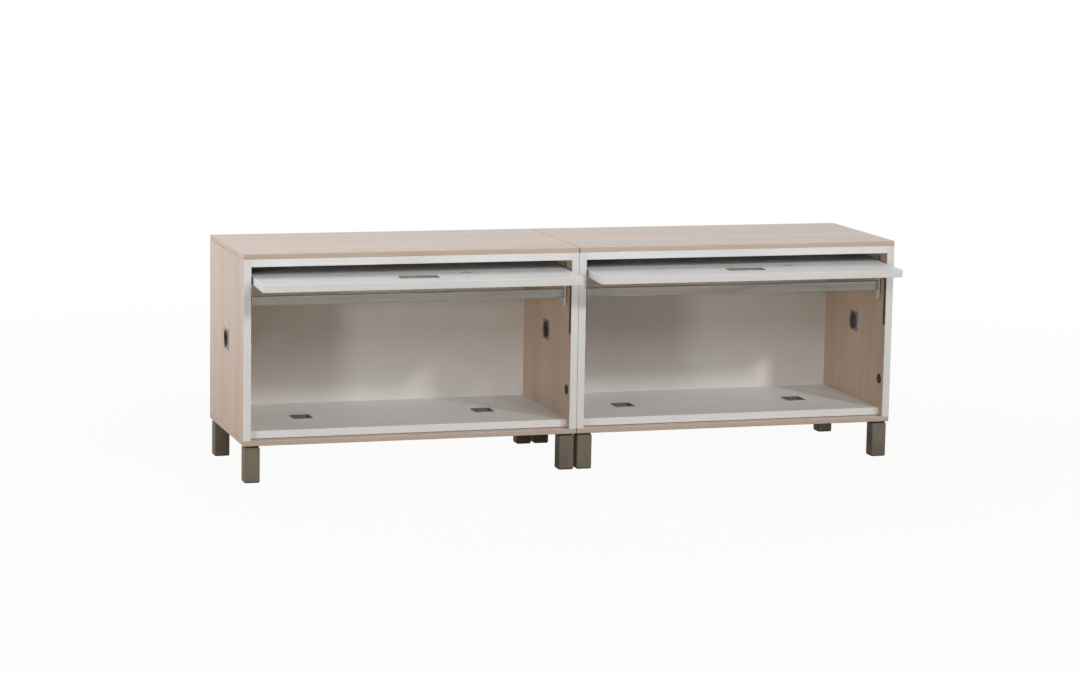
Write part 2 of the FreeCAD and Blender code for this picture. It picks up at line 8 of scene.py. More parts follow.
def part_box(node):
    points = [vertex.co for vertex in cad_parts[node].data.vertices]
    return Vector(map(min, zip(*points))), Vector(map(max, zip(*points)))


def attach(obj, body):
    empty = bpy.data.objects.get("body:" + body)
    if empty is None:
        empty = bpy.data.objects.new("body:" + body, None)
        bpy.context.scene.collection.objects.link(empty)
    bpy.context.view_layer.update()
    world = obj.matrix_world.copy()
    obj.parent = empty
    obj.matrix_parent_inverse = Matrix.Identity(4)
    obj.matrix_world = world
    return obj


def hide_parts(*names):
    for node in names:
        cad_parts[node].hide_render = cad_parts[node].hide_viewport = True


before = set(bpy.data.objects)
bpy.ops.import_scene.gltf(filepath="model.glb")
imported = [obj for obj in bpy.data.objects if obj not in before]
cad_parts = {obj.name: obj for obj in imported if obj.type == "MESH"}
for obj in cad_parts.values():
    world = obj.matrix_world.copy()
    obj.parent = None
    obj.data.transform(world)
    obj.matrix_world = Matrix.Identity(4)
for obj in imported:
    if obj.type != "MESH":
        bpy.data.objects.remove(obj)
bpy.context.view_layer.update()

# Legs
# Eight square steel tubes, each closed by a plate at its head and hung on one screw under the
# bottom board. They have a taupe powder coat with a fine metallic speckle.


def rgb(red, green, blue):
    """A colour written as it looks on a screen, turned to the linear values that shaders take."""
    shares = [level / 255 for level in (red, green, blue)]
    return [((s + 0.055) / 1.055) ** 2.4 if s > 0.04045 else s / 12.92 for s in shares] + [1.0]


def material(name, roughness, metallic=0.0):
    """A new finish: the material, its node tree, its shader and the piece's own coordinates."""
    made = bpy.data.materials.new(name)
    made.use_nodes = True
    tree = made.node_tree
    shader = tree.nodes["Principled BSDF"]
    shader.inputs["Roughness"].default_value = roughness
    shader.inputs["Metallic"].default_value = metallic
    return made, tree, shader, tree.nodes.new("ShaderNodeTexCoord").outputs["Object"]


def effect(name, inputs, outputs):
    """An empty shader node group with named sockets; returns it with its two end nodes."""
    group = bpy.data.node_groups.new(name, "ShaderNodeTree")
    for label, kind in inputs:
        group.interface.new_socket(label, in_out="INPUT", socket_type=kind)
    for label in outputs:
        group.interface.new_socket(label, in_out="OUTPUT", socket_type="NodeSocketFloat")
    return group, group.nodes.new("NodeGroupInput"), group.nodes.new("NodeGroupOutput")


def noise(tree, vector, scale, detail):
    """A noise field; the scale is a number of cells per metre or a socket that gives one."""
    node = tree.nodes.new("ShaderNodeTexNoise")
    node.inputs["Detail"].default_value = detail
    tree.links.new(vector, node.inputs["Vector"])
    if isinstance(scale, (int, float)):
        node.inputs["Scale"].default_value = scale
    else:
        tree.links.new(scale, node.inputs["Scale"])
    return node.outputs["Fac"]


def spread(tree, value, from_low, from_high, to_low, to_high):
    """Stretch the part of a field between two levels over a new range."""
    node = tree.nodes.new("ShaderNodeMapRange")
    ends = (from_low, from_high, to_low, to_high)
    for label, level in zip(("From Min", "From Max", "To Min", "To Max"), ends):
        node.inputs[label].default_value = level
    tree.links.new(value, node.inputs["Value"])
    return node.outputs["Result"]


def mix(tree, share, first, second, way="MIX"):
    """Blend two colours, each a fixed colour or a socket, by a mask."""
    node = tree.nodes.new("ShaderNodeMix")
    node.data_type = "RGBA"
    node.blend_type = way
    tree.links.new(share, node.inputs["Factor"])
    for socket, colour in ((node.inputs[6], first), (node.inputs[7], second)):
        if isinstance(colour, list):
            socket.default_value = colour
        else:
            tree.links.new(colour, socket)
    return node.outputs[2]


def relief(tree, shader, height, depth):
    """Let a field stand out of the surface by the given depth in metres."""
    node = tree.nodes.new("ShaderNodeBump")
    node.inputs["Distance"].default_value = depth
    tree.links.new(height, node.inputs["Height"])
    tree.links.new(node.outputs["Normal"], shader.inputs["Normal"])


def grain_effect():
    """Even grain of coats, plastics and papers: fine grain and a slow mottle."""
    inputs = (
        ("Vector", "NodeSocketVector"),
        ("Grains", "NodeSocketFloat"),
        ("Clouds", "NodeSocketFloat"),
    )
    group, start, end = effect("even_grain", inputs, ("Grain", "Mottle"))
    grain = noise(group, start.outputs["Vector"], start.outputs["Grains"], 2)
    clouds = noise(group, start.outputs["Vector"], start.outputs["Clouds"], 3)
    group.links.new(spread(group, grain, 0.3, 0.7, 0, 1), end.inputs["Grain"])
    group.links.new(spread(group, clouds, 0.3, 0.7, 0, 1), end.inputs["Mottle"])
    return group


even_grain = grain_effect()


def grain(tree, vector, grains, clouds):
    """The even grain in a material, with its grains and clouds per metre."""
    node = tree.nodes.new("ShaderNodeGroup")
    node.node_tree = even_grain
    node.inputs["Grains"].default_value = grains
    node.inputs["Clouds"].default_value = clouds
    tree.links.new(vector, node.inputs["Vector"])
    return node.outputs["Grain"], node.outputs["Mottle"]


def grained(name, deep, light, grains, clouds, rough, depth, metallic=0.0):
    """A coat, plastic or paper with even grain between two colours and a small relief."""
    made, tree, shader, place = material(name, rough, metallic)
    fine, slow = grain(tree, place, grains, clouds)
    middle = mix(tree, slow, deep, light)
    speckled = mix(tree, spread(tree, fine, 0, 1, 0, 0.35), middle, deep)
    tree.links.new(speckled, shader.inputs["Base Color"])
    tree.links.new(spread(tree, fine, 0, 1, rough - 0.06, rough + 0.08), shader.inputs["Roughness"])
    relief(tree, shader, fine, depth)
    return made


def solid(outlines, steps=32, closed=False):
    """A solid drawn through level outlines, each a level, width, depth and corner radius.
    Its two ends are filled, or else the last outline is joined to the first."""
    mesh = bmesh.new()
    turn = Matrix.Rotation(math.pi / steps, 4, "Z")
    points = bmesh.ops.create_circle(mesh, segments=steps, radius=1, matrix=turn)["verts"]
    ways = [point.co.copy() for point in points]
    rim = mesh.edges[:]
    rounds = list(outlines)
    if closed:
        rounds.append(rounds[0])
    else:
        bmesh.ops.edgeloop_fill(mesh, edges=rim)
    for number, (level, width, depth, corner) in enumerate(rounds):
        if number:
            drawn = bmesh.ops.extrude_edge_only(mesh, edges=rim)["geom"]
            fresh = {item for item in drawn if isinstance(item, bmesh.types.BMVert)}
            points = [next(edge.other_vert(point) for edge in point.link_edges
                           if edge.other_vert(point) in fresh) for point in points]
            rim = [item for item in drawn if isinstance(item, bmesh.types.BMEdge)
                   and item.verts[0] in fresh and item.verts[1] in fresh]
        for point, way in zip(points, ways):
            point.co = (way.x * corner + math.copysign(width / 2 - corner, way.x),
                        way.y * corner + math.copysign(depth / 2 - corner, way.y), level)
    if closed:
        bmesh.ops.remove_doubles(mesh, verts=mesh.verts, dist=1e-7)
    else:
        bmesh.ops.edgeloop_fill(mesh, edges=rim)
    bmesh.ops.recalc_face_normals(mesh, faces=mesh.faces)
    if mesh.calc_volume(signed=True) < 0:
        bmesh.ops.reverse_faces(mesh, faces=mesh.faces)
    return mesh


def gather(mesh, part, place):
    """Add a finished solid to a piece's mesh at its place."""
    bmesh.ops.transform(part, matrix=place, verts=part.verts)
    data = bpy.data.meshes.new("part")
    part.to_mesh(data)
    part.free()
    mesh.from_mesh(data)
    bpy.data.meshes.remove(data)


def piece(name, mesh, finish, body, stands_for):
    """Close a mesh into a finished piece that rides on a body and stands for a CAD node."""
    data = bpy.data.meshes.new(name)
    mesh.to_mesh(data)
    mesh.free()
    data.shade_smooth()
    data.set_sharp_from_angle(angle=math.radians(35))
    data.materials.append(finish)
    made = bpy.data.objects.new(name, data)
    bpy.context.scene.collection.objects.link(made)
    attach(made, body)
    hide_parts(stands_for)


leg_corner = 0.003
leg_break = 0.0006
leg_wall = 0.0025
leg_coat = grained("taupe_powder_coat", rgb(106, 99, 88), rgb(129, 121, 109),
                   grains=2600, clouds=14, rough=0.48, depth=0.00002, metallic=0.15)
leg_coat.node_tree.nodes["Principled BSDF"].inputs["Specular IOR Level"].default_value = 0.2
leg_places = {}
for module in ("left", "right"):
    for place in ("front_left", "front_right", "rear_left", "rear_right"):
        node = f"{module}_{place}_leg"
        low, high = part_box(node)
        leg_places[node] = Vector(((low.x + high.x) / 2, (low.y + high.y) / 2, low.z))
        size, tall = high.x - low.x, high.z - low.z
        inside = size - 2 * leg_wall
        mesh = bmesh.new()
        gather(mesh, solid((
            (tall - leg_wall, inside, inside, leg_break),
            (0, inside, inside, leg_break),
            (0, size - 2 * leg_break, size - 2 * leg_break, leg_corner - leg_break),
            (leg_break, size, size, leg_corner),
            (tall - leg_break, size, size, leg_corner),
            (tall, size - 2 * leg_break, size - 2 * leg_break, leg_corner - leg_break),
        )), Matrix.Translation(leg_places[node]))
        piece(f"{node}_tube", mesh, leg_coat, "cabinet", node)

# Glides and spacers of the legs
# Black moulded plastic: a foot pressed into the lower end of each tube, and a plate between the
# tube's head and the board that shows as a dark joint.


def dress(finish, *names):
    """Give CAD nodes their finish."""
    for name in names:
        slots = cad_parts[name].data.materials
        slots.clear()
        slots.append(finish)


foot_black = grained("black_moulded_foot", rgb(26, 23, 20), rgb(38, 34, 30),
                     grains=1800, clouds=30, rough=0.5, depth=0.00004)
glide_gap = 0.001
glide_round = 0.0008
glide_reach = 4
mesh = bmesh.new()
for node, place in leg_places.items():
    low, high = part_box(node)
    size = high.x - low.x - 2 * glide_gap
    plug = high.x - low.x - 2 * leg_wall - 2 * glide_gap
    gather(mesh, solid((
        (-low.z, size - 2 * glide_round, size - 2 * glide_round, leg_corner),
        (glide_round - low.z, size, size, leg_corner),
        (0, size, size, leg_corner),
        (0, plug, plug, glide_round),
        (glide_reach * low.z, plug, plug, glide_round),
    )), Matrix.Translation(place))
piece("moulded_feet", mesh, foot_black, "cabinet", "leg_glides")
dress(foot_black, "leg_spacers")

# Top and bottom boards
# Chipboard faced with pale wood-look paper, grain running lengthwise, and closed all round by an
# edge strip of the same wood with slightly rounded corners.


sway_waves = 2.2
sway_reach = 0.05


def streak_effect():
    """Streaks along X: broad tone bands, fine fibres and short pores."""
    inputs = (
        ("Vector", "NodeSocketVector"),
        ("Bands", "NodeSocketFloat"),
        ("Fibres", "NodeSocketFloat"),
    )
    group, start, end = effect("long_streaks", inputs, ("Bands", "Fibres", "Pores"))
    sway = noise(group, start.outputs["Vector"], sway_waves, 1)
    push = group.nodes.new("ShaderNodeVectorMath")
    push.operation = "MULTIPLY_ADD"
    push.inputs[1].default_value = (0.0, sway_reach, sway_reach)
    group.links.new(sway, push.inputs[0])
    group.links.new(start.outputs["Vector"], push.inputs[2])
    fields = {}
    for label, squeeze, source, detail in (
        ("Bands", 0.022, "Bands", 2),
        ("Fibres", 0.008, "Fibres", 4),
        ("Pores", 0.03, "Fibres", 1),
    ):
        scaled = group.nodes.new("ShaderNodeVectorMath")
        scaled.operation = "MULTIPLY"
        scaled.inputs[1].default_value = (squeeze, 1.0, 1.0)
        group.links.new(push.outputs["Vector"], scaled.inputs[0])
        fields[label] = noise(group, scaled.outputs["Vector"], start.outputs[source], detail)
    group.links.new(spread(group, fields["Bands"], 0.3, 0.7, 0, 1), end.inputs["Bands"])
    group.links.new(spread(group, fields["Fibres"], 0.32, 0.68, 0, 1), end.inputs["Fibres"])
    group.links.new(spread(group, fields["Pores"], 0.6, 0.72, 0, 1), end.inputs["Pores"])
    return group


long_streaks = streak_effect()


def streaks(tree, vector, turn, bands, fibres):
    """The long streaks in a material, turned so that they run along the piece."""
    turned = tree.nodes.new("ShaderNodeMapping")
    turned.inputs["Rotation"].default_value = turn
    tree.links.new(vector, turned.inputs["Vector"])
    node = tree.nodes.new("ShaderNodeGroup")
    node.node_tree = long_streaks
    node.inputs["Bands"].default_value = bands
    node.inputs["Fibres"].default_value = fibres
    tree.links.new(turned.outputs["Vector"], node.inputs["Vector"])
    return node.outputs["Bands"], node.outputs["Fibres"], node.outputs["Pores"]


wood_fibres = 420
wood_deep = rgb(196, 176, 161)
wood_light = rgb(211, 194, 181)
fibre_brown = rgb(182, 160, 143)
fibre_share = 0.3
pore_brown = rgb(162, 141, 121)
pore_share = 0.4
pore_depth = 0.00004


def wood(name, turn, bands, rough):
    """Pale wood-look facing: two tones in broad bands per metre, fibres and a few darker pores.
    The colour is left open, for the piece to add its painted shade and tint."""
    made, tree, shader, place = material(name, rough)
    broad, fibre, pore = streaks(tree, place, turn, bands, wood_fibres)
    tone = mix(tree, broad, wood_deep, wood_light)
    tone = mix(tree, spread(tree, fibre, 0, 1, 0, fibre_share), tone, fibre_brown)
    tone = mix(tree, spread(tree, pore, 0, 1, 0, pore_share), tone, pore_brown)
    tree.links.new(spread(tree, fibre, 0, 1, rough - 0.03, rough + 0.07), shader.inputs["Roughness"])
    relief(tree, shader, pore, -pore_depth)
    return made, tree, shader, tone


edge_brown = rgb(184, 164, 145)
edge_share = 0.4
edge_slope, flat_slope = 0.2, 0.5
wood_level, tree, shader, tone = wood("wood_facing_lengthwise", (0, 0, 0), bands=20, rough=0.32)
edge_side = tree.nodes.new("ShaderNodeSeparateXYZ")
tree.links.new(tree.nodes["Texture Coordinate"].outputs["Normal"], edge_side.inputs["Vector"])
upward = tree.nodes.new("ShaderNodeMath")
upward.operation = "ABSOLUTE"
tree.links.new(edge_side.outputs["Z"], upward.inputs[0])
edge_strip = spread(tree, upward.outputs["Value"], flat_slope, edge_slope, 0, edge_share)
tone = mix(tree, edge_strip, tone, edge_brown)


def distances(tree):
    """How far a point lies from the seam between the cabinets, and its height."""
    parts = tree.nodes.new("ShaderNodeSeparateXYZ")
    tree.links.new(tree.nodes["Texture Coordinate"].outputs["Object"], parts.inputs["Vector"])
    from_seam = tree.nodes.new("ShaderNodeMath")
    from_seam.operation = "ABSOLUTE"
    tree.links.new(parts.outputs["X"], from_seam.inputs[0])
    return from_seam.outputs["Value"], parts.outputs["Z"]


# Painted shade: the boards turn dark brown within a few millimetres of the seam between the cabinets,
# where the gap lies in shade.
painted_joint_shade_brown = rgb(96, 80, 68)
painted_joint_shade_share = 0.65
seam_near, seam_far = 0.0010, 0.0022
painted_seam_shade = spread(tree, distances(tree)[0], seam_near, seam_far, painted_joint_shade_share, 0)
tree.links.new(mix(tree, painted_seam_shade, tone, painted_joint_shade_brown), shader.inputs["Base Color"])
for module in ("left", "right"):
    dress(wood_level, f"{module}_top_panel", f"{module}_bottom_panel")

# Sides and their front bands
# The sides are faced with the same wood, grain upright, with a warmer tint painted inside for the warm
# light bounced in the cabinets, and painted shade along their foot where they stand on the bottom board.
# A white band of 2 mm plastic is glued to their front edges.


def board(name, deep, light, rough):
    """White melamine paper: nearly even, with a fine pearl relief."""
    made, tree, shader, place = material(name, rough)
    fine, slow = grain(tree, place, 1500, 5)
    tree.links.new(mix(tree, slow, deep, light), shader.inputs["Base Color"])
    tree.links.new(spread(tree, fine, 0, 1, rough - 0.05, rough + 0.07), shader.inputs["Roughness"])
    relief(tree, shader, fine, 0.000012)
    return made


painted_inner_bounce_tint = [1.06, 0.99, 0.89, 1.0]
core_half = 0.001
foot_near, foot_far = 0.0008, 0.0024
upright = (0, math.radians(90), 0)
wood_upright, tree, shader, tone = wood("wood_facing_upright", upright, bands=13, rough=0.34)
from_seam, height = distances(tree)
low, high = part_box("left_outer_side")
core = -(low.x + high.x) / 2
# Painted light: the inner faces of the sides are tinted warmer, standing in for the warm light bounced
# inside the cabinets.
inside = spread(tree, from_seam, core - core_half, core + core_half, 1, 0)
tone = mix(tree, inside, tone, painted_inner_bounce_tint, "MULTIPLY")
# Painted shade: the sides turn dark brown just above their foot, along the crease with the bottom board.
painted_foot_shade = spread(tree, height, low.z + foot_near, low.z + foot_far, painted_joint_shade_share, 0)
tree.links.new(mix(tree, painted_foot_shade, tone, painted_joint_shade_brown), shader.inputs["Base Color"])
band_white = board("white_edge_band", rgb(221, 222, 222), rgb(226, 227, 228), rough=0.4)
for module in ("left", "right"):
    dress(wood_upright, f"{module}_inner_side", f"{module}_outer_side")
    dress(band_white, f"{module}_side_bands")

# Dowels, bolts and screws
# Beech dowels between the boards, zinc-plated bolts that draw the cabinets together at the seam,
# and the screws of the legs and tracks. Most are hidden once the piece is put together.

dowel_beech = grained("beech_dowel", rgb(176, 138, 98), rgb(200, 164, 124),
                      grains=900, clouds=60, rough=0.6, depth=0.00003)
fastener_zinc = grained("zinc_plated_steel", rgb(128, 130, 132), rgb(168, 170, 170),
                        grains=1400, clouds=90, rough=0.32, depth=0.00001, metallic=1.0)
dress(dowel_beech, "carcass_dowels")
dress(fastener_zinc, "joint_bolts", "leg_screws", "track_screws")

# Floor, back and rails
# White melamine boards between the sides. The floor is set back from the front and lies just
# clear of the bottom board, which leaves a thin dark joint.

floor_white = board("white_floor_board", rgb(227, 226, 225), rgb(233, 232, 231), rough=0.42)
back_white = board("white_back_board", rgb(222, 218, 213), rgb(230, 226, 221), rough=0.5)
for module in ("left", "right"):
    dress(floor_white, f"{module}_floor_panel")
    dress(floor_white, f"{module}_front_top_rail", f"{module}_rear_top_rail")
    dress(back_white, f"{module}_back_panel")

# Cable ports
# Grey moulded frames: round sleeves with square plates in the sides, and dark square sleeves let
# into the floor.

port_grains = 1600
port_clouds = 40
port_relief = 0.00004
port_rough = 0.42
bore_rough = 0.95
port_dark = grained("dark_moulded_port", rgb(98, 93, 88), rgb(118, 113, 107),
                    port_grains, port_clouds, rough=0.45, depth=port_relief)
port_bore = 0.05
port_wall = 0.002
port_plate = 0.002
port_corner = 0.003
port_round = 0.0006


def port_finish(centre):
    """Grey plastic, dark and dull inside the bore around an axis along X through the centre."""
    made, tree, shader, place = material("grey_moulded_port", port_rough)
    fine, slow = grain(tree, place, port_grains, port_clouds)
    plain = mix(tree, slow, rgb(126, 120, 117), rgb(144, 138, 134))
    moved = tree.nodes.new("ShaderNodeVectorMath")
    moved.operation = "SUBTRACT"
    moved.inputs[1].default_value = centre
    tree.links.new(place, moved.inputs[0])
    flat = tree.nodes.new("ShaderNodeVectorMath")
    flat.operation = "MULTIPLY"
    flat.inputs[1].default_value = (0.0, 1.0, 1.0)
    tree.links.new(moved.outputs["Vector"], flat.inputs[0])
    radius = tree.nodes.new("ShaderNodeVectorMath")
    radius.operation = "LENGTH"
    tree.links.new(flat.outputs["Vector"], radius.inputs[0])
    in_bore = spread(tree, radius.outputs["Value"], port_bore / 2, port_bore / 2 + port_round, 1, 0)
    tree.links.new(mix(tree, in_bore, plain, rgb(86, 80, 78)), shader.inputs["Base Color"])
    tree.links.new(spread(tree, in_bore, 0, 1, port_rough, bore_rough), shader.inputs["Roughness"])
    relief(tree, shader, fine, port_relief)
    return made


def port(size, plate, bore_corner, length):
    """A plate with a softened rim and a sleeve behind it; the plate's back lies at level zero."""
    wide = port_bore + 2 * port_wall
    mouth = port_bore + 2 * port_round
    rim = size - 2 * port_round
    return solid((
        (-length, wide, wide, bore_corner + port_wall),
        (0, wide, wide, bore_corner + port_wall),
        (0, size, size, port_corner),
        (plate - port_round, size, size, port_corner),
        (plate, rim, rim, port_corner - port_round),
        (plate, mouth, mouth, bore_corner + port_round),
        (plate - port_round, port_bore, port_bore, bore_corner),
        (-length, port_bore, port_bore, bore_corner),
    ), steps=64, closed=True)


low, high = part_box("left_side_ports")
port_grey = port_finish((low + high) / 2)
for module in ("left", "right"):
    low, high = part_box(f"{module}_side_ports")
    centre_y, centre_z = (low.y + high.y) / 2, (low.z + high.z) / 2
    plate_size = high.z - low.z
    middle_x = sum(end.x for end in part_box(f"{module}_floor_panel")) / 2
    mesh = bmesh.new()
    for side in ("outer_side", "inner_side"):
        near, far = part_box(f"{module}_{side}")
        thick = far.x - near.x
        inward = 1 if near.x < middle_x else -1
        inner_x = far.x if inward > 0 else near.x
        turn = Matrix.Rotation(math.radians(90) * inward, 4, "Y")
        gather(mesh, port(plate_size, port_plate, port_bore / 2, thick),
               Matrix.Translation((inner_x, centre_y, centre_z)) @ turn)
        if side == "outer_side":
            outer_x = inner_x - inward * thick
            back_turn = Matrix.Rotation(math.radians(-90) * inward, 4, "Y")
            gather(mesh, port(plate_size, port_plate, port_bore / 2, port_round),
                   Matrix.Translation((outer_x, centre_y, centre_z)) @ back_turn)
    piece(f"{module}_side_port_frames", mesh, port_grey, "cabinet",
          f"{module}_side_ports")

    low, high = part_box(f"{module}_floor_ports")
    floor_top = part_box(f"{module}_floor_panel")[1].z
    size = high.y - low.y
    mesh = bmesh.new()
    for x in (low.x + size / 2, high.x - size / 2):
        gather(mesh, port(size, high.z - floor_top, port_corner, floor_top - low.z),
               Matrix.Translation((x, (low.y + high.y) / 2, floor_top)))
    piece(f"{module}_floor_port_frames", mesh, port_dark, "cabinet",
          f"{module}_floor_ports")

# Cover caps
# Plastic discs pressed over the bolt holes in the sides, two on each inner face, with a rounded
# rim and a slightly domed face. The large lower ones are black and the small upper ones brown.

cap_smooth, cap_rough = 0.5, 0.64
cap_relief = 0.00003
upper_near, upper_far = 0.4, 0.42
cap_dark, tree, shader, place = material("dark_cover_cap", cap_rough)
fine, slow = grain(tree, place, grains=1400, clouds=50)
upper = spread(tree, distances(tree)[1], upper_near, upper_far, 0, 1)
black = mix(tree, slow, rgb(18, 15, 13), rgb(27, 23, 20))
brown = mix(tree, slow, rgb(118, 101, 86), rgb(132, 114, 98))
tree.links.new(mix(tree, upper, black, brown), shader.inputs["Base Color"])
tree.links.new(spread(tree, fine, 0, 1, cap_smooth, cap_rough), shader.inputs["Roughness"])
relief(tree, shader, fine, cap_relief)
cap_high = 0.0015
cap_sizes = ((0.0305, 0.033, 0.112), (0.016, 0.059, 0.481))
cap_profile = ((0, 1), (0.45, 1), (0.7, 0.97), (0.88, 0.9), (0.92, 0.82),
               (0.86, 0.78), (0.9, 0.74), (0.97, 0.4), (1, 0.12))
mesh = bmesh.new()
for module in ("left", "right"):
    front_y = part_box(f"{module}_side_bands")[0].y
    middle_x = sum(end.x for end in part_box(f"{module}_floor_panel")) / 2
    for side in ("outer_side", "inner_side"):
        near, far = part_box(f"{module}_{side}")
        inward = 1 if near.x < middle_x else -1
        inner_x = far.x if inward > 0 else near.x
        turn = Matrix.Rotation(math.radians(90) * inward, 4, "Y")
        for width, setback, rise in cap_sizes:
            disc = solid([(cap_high * level, width * share, width * share, width * share / 2)
                          for level, share in cap_profile], steps=48)
            gather(mesh, disc, Matrix.Translation((inner_x, front_y + setback, near.z + rise)) @ turn)
piece("bolt_cover_discs", mesh, cap_dark, "cabinet", "cover_caps")

# Guide strips
# Strips of black-brown rubber on the inner faces just behind the front bands, which keep the door
# from rubbing on the wood.

strip_rubber = grained("black_brown_rubber", rgb(58, 47, 40), rgb(76, 63, 54),
                       grains=1100, clouds=30, rough=0.62, depth=0.00006)
for module in ("left", "right"):
    dress(strip_rubber, f"{module}_guide_strips")

# Tracks and trolleys
# Lipped steel channels let flush into the sides, and the plastic blocks that slide in them with
# the door's pivot pins.


draw_bands = 60
draw_lines = 1500
draw_share = 0.3
draw_depth = 0.00001


def drawn_metal(name, turn, deep, light, rough):
    """Metal with fine draw lines along the piece."""
    made, tree, shader, place = material(name, rough, metallic=1.0)
    broad, lines = streaks(tree, place, turn, draw_bands, draw_lines)[:2]
    tone = mix(tree, broad, deep, light)
    tone = mix(tree, spread(tree, lines, 0, 1, 0, draw_share), tone, deep)
    tree.links.new(tone, shader.inputs["Base Color"])
    tree.links.new(spread(tree, lines, 0, 1, rough - 0.06, rough + 0.1), shader.inputs["Roughness"])
    relief(tree, shader, lines, draw_depth)
    return made


front_to_back = (0, 0, math.radians(90))
track_steel = drawn_metal("track_steel", front_to_back, rgb(120, 121, 122), rgb(156, 157, 157), rough=0.36)
trolley_plastic = grained("trolley_plastic", rgb(44, 43, 42), rgb(60, 58, 56),
                          grains=1500, clouds=40, rough=0.45, depth=0.00003)
for module in ("left", "right"):
    dress(track_steel, f"{module}_door_tracks")
    dress(trolley_plastic, f"{module}_door_trolleys")
    dress(fastener_zinc, f"{module}_pivot_pins")

# Flap doors
# White melamine boards with plastic edges, drawn back under the tops with the lower edge standing
# out in front. They fall a little towards the front, like their tracks.

door_fall = math.radians(2.3)
door_white = board("white_door_board", rgb(220, 221, 221), rgb(226, 227, 227), rough=0.38)
for module in ("left", "right"):
    dress(door_white, f"{module}_door")

# Recessed handles
# Pressed metal cups set flush in the doors: a thin flange on the face, drafted walls and a rounded
# bottom to reach into.


def level_box(name):
    """The box of a node on a door, measured along the door, and the turn back to its place."""
    turn = Matrix.Rotation(door_fall, 4, "X")
    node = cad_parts[name]
    points = [turn.inverted() @ node.matrix_world @ vertex.co for vertex in node.data.vertices]
    low = Vector([min(point[axis] for point in points) for axis in range(3)])
    high = Vector([max(point[axis] for point in points) for axis in range(3)])
    return low, high, turn


handle_metal = grained("satin_handle_metal", rgb(112, 111, 109), rgb(138, 136, 133),
                       grains=2200, clouds=30, rough=0.38, depth=0.00001, metallic=0.5)
handle_wall = 0.0015
handle_corner = 0.005
handle_depth = 0.014
handle_flange = 0.0025
handle_break = 0.0004
handle_mouth = 0.0005
handle_floor = ((0.0035, 0.0012), (0.0022, 0.003), (0.0015, 0.007))
for module in ("left", "right"):
    low, high, turn = level_box(f"{module}_door_handle")
    face = level_box(f"{module}_door")[1].z
    wide, deep = high.x - low.x, high.y - low.y
    lip = high.z - face
    open_w, open_d = wide - 2 * handle_flange, deep - 2 * handle_flange
    outlines = [(level, wide - 2 * inset, deep - 2 * inset, handle_corner + handle_flange - inset)
                for level, inset in (
                    (-handle_depth, handle_flange - handle_wall),
                    (0, handle_flange - handle_wall),
                    (0, 0),
                    (lip / 2, 0),
                    (lip, handle_break),
                    (lip, handle_flange - handle_mouth),
                    (0, handle_flange))]
    outlines += [(rise - handle_depth, open_w - narrowing, open_d - narrowing, handle_corner)
                 for rise, narrowing in handle_floor]
    mesh = bmesh.new()
    gather(mesh, solid(outlines),
           turn @ Matrix.Translation(((low.x + high.x) / 2, (low.y + high.y) / 2, face)))
    piece(f"{module}_handle_cup", mesh, handle_metal, f"{module}_door",
          f"{module}_door_handle")

# Locks
# Nickel-plated cylinder locks: a rosette with a sunk face on the door, and the plug in it that
# turns the cam behind the door.

lock_nickel = grained("nickel_lock", rgb(182, 181, 178), rgb(202, 200, 196),
                      grains=2000, clouds=60, rough=0.3, depth=0.00001, metallic=0.6)
plug_nickel = grained("nickel_plug", rgb(160, 159, 156), rgb(184, 182, 178),
                      grains=2000, clouds=60, rough=0.34, depth=0.00001, metallic=0.6)
lock_bore = 0.0141
lock_body = 0.026
rosette_profile = ((0.029, 0), (0.029, 0.0005), (0.0284, 0.0008), (0.0232, 0.0008),
                   (0.022, 0.0004), (0.022, -0.0036), (0.0212, -0.004), (lock_bore, -0.004))
for module in ("left", "right"):
    low, high, turn = level_box(f"{module}_lock_barrel")
    face = level_box(f"{module}_door")[1].z
    body_profile = ((lock_bore, low.z - face), (lock_body, low.z - face), (lock_body, 0))
    outlines = [(level, across, across, across / 2) for across, level in body_profile + rosette_profile]
    mesh = bmesh.new()
    gather(mesh, solid(outlines, steps=48, closed=True),
           turn @ Matrix.Translation(((low.x + high.x) / 2, (low.y + high.y) / 2, face)))
    piece(f"{module}_lock_rosette", mesh, lock_nickel, f"{module}_door",
          f"{module}_lock_barrel")
    dress(plug_nickel, f"{module}_lock_plug")

# Stiffening bars and their brackets
# Drawn aluminium tubes under the doors, held at each end by a bent steel strap that ends in a lug
# with an eye.

bar_metal = drawn_metal("drawn_aluminium", (0, 0, 0), rgb(142, 139, 135), rgb(168, 165, 160), rough=0.42)
bracket_metal = grained("bracket_steel", rgb(222, 220, 217), rgb(234, 232, 229),
                        grains=1500, clouds=70, rough=0.4, depth=0.00001, metallic=0.1)
for module in ("left", "right"):
    dress(bar_metal, f"{module}_door_bar")
    dress(bracket_metal, f"{module}_bar_brackets")
    dress(fastener_zinc, f"{module}_bracket_screws")

# Studio floor and light
# A plain pale floor that looks white and keeps a faint shadow, three lamps in front, two at the
# left, a soft one above and one low behind, and an even white surround.

floor_half = 70
near_radius, far_radius = 1.2, 4.0
seen_white_near, seen_white_far = 0.95, 1.0
mirrored_white_near = 0.1
mesh = bmesh.new()
bmesh.ops.create_grid(mesh, x_segments=1, y_segments=1, size=floor_half)
data = bpy.data.meshes.new("studio_floor")
mesh.to_mesh(data)
mesh.free()
studio_floor = bpy.data.objects.new("studio_floor", data)
bpy.context.scene.collection.objects.link(studio_floor)


def seen_rays(tree):
    """Masks of the rays that show the surroundings: straight to the camera, and by a reflection."""
    path = tree.nodes.new("ShaderNodeLightPath")
    mirrored = tree.nodes.new("ShaderNodeMath")
    mirrored.operation = "MAXIMUM"
    tree.links.new(path.outputs["Is Glossy Ray"], mirrored.inputs[0])
    tree.links.new(path.outputs["Is Transmission Ray"], mirrored.inputs[1])
    return path.outputs["Is Camera Ray"], mirrored.outputs["Value"]


